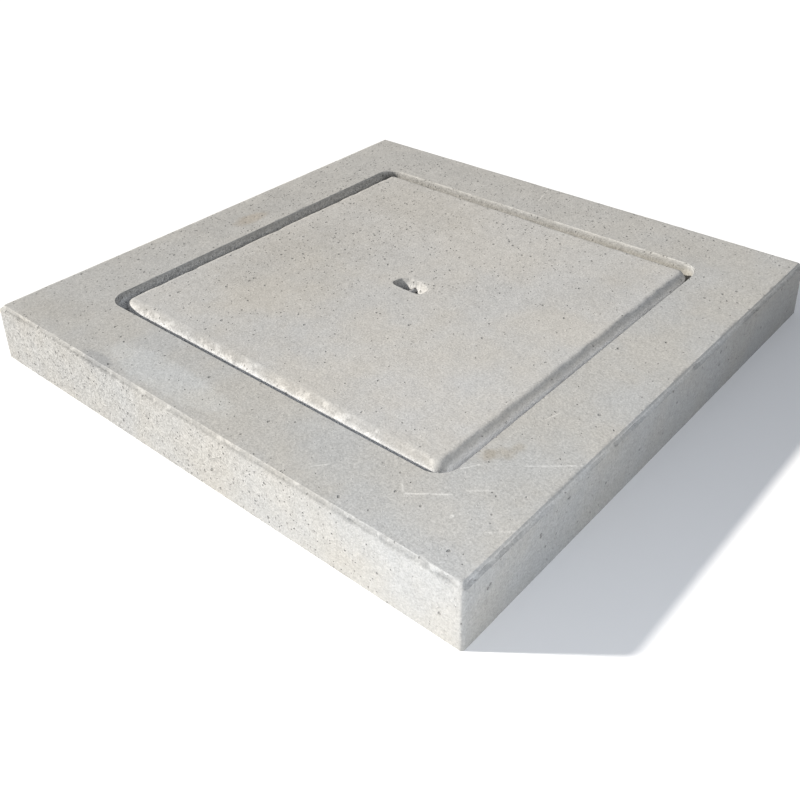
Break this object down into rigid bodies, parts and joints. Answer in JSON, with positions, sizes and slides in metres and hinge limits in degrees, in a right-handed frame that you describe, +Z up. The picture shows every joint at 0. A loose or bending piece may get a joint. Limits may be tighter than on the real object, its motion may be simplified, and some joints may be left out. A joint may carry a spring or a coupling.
{
  "type": "manhole cover",
  "caption": "Square precast concrete access cover: a reinforced frame with a rebated opening and a loose lid that lifts out by a hooked bar across a small pocket.",
  "frame": {"origin": "centre of the underside of the frame, on the bedding plane", "axes": "+X and +Y along the square sides, +X along the lifting pocket's length, +Z up through the lid"},
  "size_m": [0.606, 0.606, 0.062],
  "materials": {
    "frame_concrete": "matte grey cast concrete with small air holes",
    "lid_concrete": "matte grey cast concrete with small air holes",
    "frame_bars": "mild steel bar with mill scale and light rust",
    "lid_bars": "mild steel bar with mill scale and light rust",
    "lifting_steel": "mild steel bar, rusty, with cement dust"
  },
  "bodies": {
    "frame": {"frame_slab": "frame_concrete", "ring_ledge": "frame_bars", "ring_base": "frame_bars", "ring_inner": "frame_bars", "ring_outer": "frame_bars", "frame_link_1": "frame_bars", "frame_link_2": "frame_bars", "frame_link_3": "frame_bars", "frame_link_4": "frame_bars", "frame_link_5": "frame_bars", "frame_link_6": "frame_bars", "frame_link_7": "frame_bars", "frame_link_8": "frame_bars", "frame_link_9": "frame_bars", "frame_link_10": "frame_bars", "frame_link_11": "frame_bars", "frame_link_12": "frame_bars"},
    "lid": {"lid_slab": "lid_concrete", "lifting_bar": "lifting_steel", "lid_bar_x_1": "lid_bars", "lid_bar_x_2": "lid_bars", "lid_bar_x_3": "lid_bars", "lid_bar_x_4": "lid_bars", "lid_bar_x_5": "lid_bars", "lid_bar_x_6": "lid_bars", "lid_bar_y_1": "lid_bars", "lid_bar_y_2": "lid_bars", "lid_bar_y_3": "lid_bars", "lid_bar_y_4": "lid_bars", "lid_bar_y_5": "lid_bars", "lid_bar_y_6": "lid_bars"}
  },
  "joints": [
    {"name": "lid_lift", "type": "slide", "parent": "frame", "child": "lid", "axis": [0, 0, 1], "range_m": [0, 0.1]}
  ]
}
